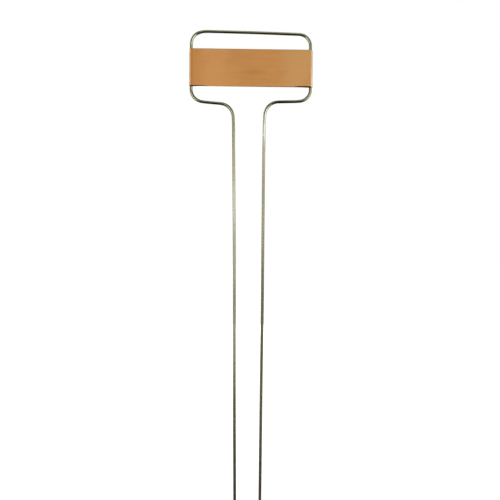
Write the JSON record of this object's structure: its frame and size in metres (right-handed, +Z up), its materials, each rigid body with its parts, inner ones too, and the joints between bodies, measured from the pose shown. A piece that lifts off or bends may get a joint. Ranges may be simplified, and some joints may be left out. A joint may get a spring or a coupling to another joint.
{
  "type": "plant label stake",
  "caption": "Garden label stake: a bent wire frame on long legs, with a plain copper name plate folded round both sides of its head.",
  "frame": {"origin": "level with the tips of the legs, below the middle of the head", "axes": "+Z up the stake, +X to the right of someone reading the plate, the plate faces -Y"},
  "size_m": [0.0888, 0.003, 0.381],
  "materials": {
    "galvanised_wire": "satin",
    "copper_sheet": "satin"
  },
  "bodies": {
    "stake": {"wire_stake": "galvanised_wire"},
    "plate": {"name_plate": "copper_sheet"}
  },
  "joints": [
    {"name": "plate_slide", "type": "slide", "parent": "stake", "child": "plate", "axis": [0, 0, 1], "range_m": [-0.002, 0.002]}
  ]
}
